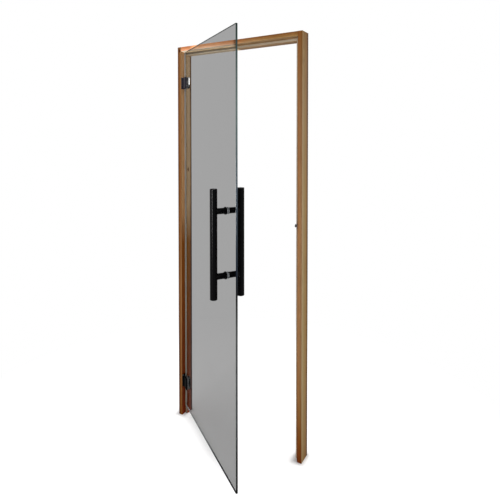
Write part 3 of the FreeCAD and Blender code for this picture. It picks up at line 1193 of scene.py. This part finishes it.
def build_screws(name, places, axis, radius, body):
    """Countersunk heads with a round drive recess, one turned surface at each place."""
    proud = 0.3 * MM
    sunk = 1.5 * MM
    profile = [
        (0.0, -sunk),
        (0.7 * radius, -sunk),
        (radius, -proud),
        (radius, 0.5 * proud),
        (0.92 * radius, proud),
        (0.5 * radius, proud),
        (0.44 * radius, 0.0),
        (0.44 * radius, -2.0 * proud),
        (0.0, -3.0 * proud),
    ]
    points = []
    faces = []
    for place in places:
        head_points, head_faces = turned(profile, place, axis, segments=24)
        faces += [[index + 24 * len(profile) * len(points) for index in face] for face in head_faces]
        points.append(head_points)
    make_piece(name, np.concatenate(points), faces, [screw_black], body)


for level in ("upper", "lower"):
    low, high = leaf_box("%s_hinge_backplate" % level)
    middle_z = (low[2] + high[2]) / 2.0
    screw_s = high[0] - CLAMP_SCREW_INSET
    rise = CLAMP_SCREW_SPACING / 2.0
    build_screws(
        "%s_inner_plate_screws" % level,
        leaf_to_row([(screw_s, high[1], middle_z - rise), (screw_s, high[1], middle_z + rise)]),
        leaf_inward,
        4.5 * MM,
        "leaf",
    )
    low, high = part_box("%s_hinge_bracket" % level)
    build_screws(
        "%s_bracket_screws" % level,
        [
            np.array([high[0] - 6 * MM, high[1] - BRACKET_PLATE, middle_z + rise])
            for rise in (-20 * MM, 0.0, 20 * MM)
        ],
        (0.0, -1.0, 0.0),
        3.2 * MM,
        "frame",
    )
low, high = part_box("catch_housing")
build_screws(
    "catch_plate_screws",
    [
        np.array([high[0] - 4.5 * MM, low[1], (low[2] + high[2]) / 2.0 + rise])
        for rise in (-7.5 * MM, 7.5 * MM)
    ],
    (0.0, -1.0, 0.0),
    2.0 * MM,
    "frame",
)


# Studio


def distance_from_foot(material, place, node):
    """Distance on the floor from a post's foot: the length of max(|place - centre| - half, 0)."""
    low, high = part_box(node)
    centre = ((low[0] + high[0]) / 2.0, (low[1] + high[1]) / 2.0, 0.0)
    half = ((high[0] - low[0]) / 2.0, (high[1] - low[1]) / 2.0, 0.0)
    reach = place
    for operation, operand in (
        ("SUBTRACT", centre),
        ("ABSOLUTE", (0.0, 0.0, 0.0)),
        ("SUBTRACT", half),
        ("MAXIMUM", (0.0, 0.0, 0.0)),
        ("LENGTH", (0.0, 0.0, 0.0)),
    ):
        step = add_node(
            material, "ShaderNodeVectorMath", {"operation": operation}, {0: reach, 1: operand}
        )
        reach = step.outputs[0]
    return step.outputs["Value"]


def shade_under_leaf(material, place):
    """Share of the floor's lift kept beside the leaf: 0 just inside its foot, 1 elsewhere. The floor
    is darker where the lift is held back, a painted shadow of the leaf at rest that stays there in
    every pose.

    With s along the leaf and t into the cabin, both from the pivot, the held-back share is
    the product of a rise over t, a fall over t, a rise over s and a fall over s.
    """
    rise_t = (-20 * MM, 20 * MM)
    fall_t = (35 * MM, 70 * MM)
    rise_s = (0.0, 30 * MM)
    fall_s = (300 * MM, 550 * MM)
    most_held = 0.85
    from_pivot = add_node(
        material,
        "ShaderNodeVectorMath",
        {"operation": "SUBTRACT"},
        {0: place, 1: (pivot[0], pivot[1], 0.0)},
    ).outputs[0]
    along, inward = [
        add_node(
            material,
            "ShaderNodeVectorMath",
            {"operation": "DOT_PRODUCT"},
            {0: from_pivot, 1: tuple(axis)},
        ).outputs["Value"]
        for axis in (leaf_along, leaf_inward)
    ]
    held = most_held
    for ramp in (
        mapped(material, inward, *rise_t),
        mapped(material, inward, *fall_t, 1.0, 0.0),
        mapped(material, along, *rise_s),
        mapped(material, along, *fall_s, 1.0, 0.0),
    ):
        held = calculated(material, "MULTIPLY", held, ramp)
    return calculated(material, "SUBTRACT", 1.0, held)


def build_floor():
    """Pale floor that keeps the shadows near the object and turns plain white further off.

    A lift of plain white is added to its paint, less where it is seen through the glass and
    none at the jambs' feet, where the shadows stay. Held back round the feet and beside the
    leaf's foot, it leaves the floor darker there than elsewhere: painted shade over the real shadows.
    """
    half = 8.0
    shadows_end = 0.7
    white_from = 1.5
    lift = 0.46
    lift_through_glass = 0.21
    foot_shadow = 22 * MM
    mesh = bpy.data.meshes.new("studio_floor")
    mesh.from_pydata(
        [(-half, -half, 0.0), (half, -half, 0.0), (half, half, 0.0), (-half, half, 0.0)],
        [],
        [(0, 1, 2, 3)],
    )
    floor = bpy.data.objects.new("studio_floor", mesh)
    bpy.context.scene.collection.objects.link(floor)
    material = new_material("pale studio floor")
    paths = add_node(material, "ShaderNodeLightPath").outputs
    seen = calculated(material, "MAXIMUM", paths["Is Camera Ray"], paths["Is Glossy Ray"])
    through_glass = paths["Is Transmission Ray"]
    # A ray through clear glass counts as a glossy ray too
    straight = calculated(material, "SUBTRACT", seen, through_glass)
    raised = calculated(
        material,
        "MAXIMUM",
        calculated(material, "MULTIPLY", straight, lift),
        calculated(material, "MULTIPLY", through_glass, lift_through_glass),
    )
    coordinates = add_node(material, "ShaderNodeTexCoord")
    middle = [(low + high) / 2.0 for low, high in zip(*cad_box)]
    offset = add_node(
        material,
        "ShaderNodeVectorMath",
        {"operation": "DISTANCE"},
        {0: coordinates.outputs["Object"], 1: (middle[0], middle[1], 0.0)},
    )
    far = mapped(material, offset.outputs["Value"], shadows_end, white_from)
    # Painted shade: the lift is held back beside the leaf's foot and round the jambs' feet
    by_feet = shade_under_leaf(material, coordinates.outputs["Object"])
    for jamb in ("hinge_jamb", "latch_jamb"):
        apart = distance_from_foot(material, coordinates.outputs["Object"], jamb)
        by_feet = calculated(material, "MULTIPLY", by_feet, mapped(material, apart, 0.0, foot_shadow))
    paint = add_node(
        material, "ShaderNodeBsdfDiffuse", inputs={"Color": (0.9, 0.9, 0.9, 1.0)}
    )
    glow = add_node(
        material,
        "ShaderNodeEmission",
        inputs={"Strength": calculated(material, "MULTIPLY", raised, by_feet)},
    )
    near_floor = add_node(
        material, "ShaderNodeAddShader", inputs={0: paint.outputs[0], 1: glow.outputs[0]}
    )
    white = add_node(material, "ShaderNodeEmission", inputs={"Strength": 1.0})
    whole = add_node(
        material,
        "ShaderNodeMixShader",
        inputs={
            0: calculated(material, "MULTIPLY", seen, far),
            1: near_floor.outputs[0],
            2: white.outputs[0],
        },
    )
    finish_material(material, whole)
    mesh.materials.append(material)
    floor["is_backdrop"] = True


def build_world():
    """Even white dome: plain light for the surfaces, pure white where it is seen or mirrored."""
    world = bpy.data.worlds.new("studio dome")
    bpy.context.scene.world = world
    world.use_nodes = True
    world.node_tree.nodes.clear()
    paths = add_node(world, "ShaderNodeLightPath")
    strength = add_node(
        world,
        "ShaderNodeMix",
        {"data_type": "FLOAT"},
        {0: paths.outputs["Is Diffuse Ray"], 2: 1.0, 3: 0.8},
    )
    background = add_node(
        world,
        "ShaderNodeBackground",
        inputs={"Color": (1.0, 1.0, 1.0, 1.0), "Strength": strength.outputs[0]},
    )
    output = add_node(world, "ShaderNodeOutputWorld")
    world.node_tree.links.new(background.outputs[0], output.inputs["Surface"])


def add_softbox(name, place, aim, width, height, power, highlight_only=False):
    """Rectangular area lamp turned towards a point, or one that shows only as a highlight.

    None of them is seen itself, neither straight nor through the glass.
    """
    lamp = bpy.data.lights.new(name, "AREA")
    lamp.shape = "RECTANGLE"
    lamp.size = width
    lamp.size_y = height
    lamp.energy = power
    lamp_object = bpy.data.objects.new(name, lamp)
    bpy.context.scene.collection.objects.link(lamp_object)
    lamp_object.location = place
    back = np.asarray(place, float) - np.asarray(aim, float)
    azimuth = math.atan2(back[0], -back[1])
    tilt = math.atan2(math.hypot(back[0], back[1]), back[2])
    lamp_object.rotation_euler = (tilt, 0.0, azimuth)
    lamp_object.visible_camera = False
    lamp_object.visible_transmission = False
    lamp_object.visible_diffuse = not highlight_only


def build_camera():
    """Camera at the photograph's angle: level lens low in its frame, turned to the left."""
    lens_mm = 31.26
    turned_left = math.radians(30.73)
    tipped_down = math.radians(1.33)
    data = bpy.data.cameras.new("studio camera")
    data.sensor_width = 36.0
    data.lens = lens_mm
    data.shift_y = -0.2013
    camera = bpy.data.objects.new("studio camera", data)
    bpy.context.scene.collection.objects.link(camera)
    camera.location = (1.4528, -1.7553, 1.4231)
    camera.rotation_euler = (math.pi / 2.0 - tipped_down, 0.0, turned_left)
    bpy.context.scene.camera = camera


build_floor()
build_world()
add_softbox("front strip", (0.15, -3.7, 1.5), (0.4, -0.1, 1.0), 0.25, 2.2, 16.0)
add_softbox("cabin-side softbox", (2.4, 2.6, 1.9), (0.0, 0.0, 1.0), 1.6, 1.6, 40.0)
add_softbox("low strip", (0.15, -3.7, 0.8), (0.46, -0.35, 1.0), 0.35, 0.9, 90.0, True)
add_softbox("overhead box", (1.72, -1.16, 3.7), (0.46, -0.35, 1.1), 1.0, 0.5, 30.0, True)
add_softbox("side panel", (2.9, -0.8, 2.1), (0.05, -0.03, 1.7), 0.5, 0.5, 2.6, True)
build_camera()
bpy.context.scene.view_settings.view_transform = "Standard"

low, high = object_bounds()
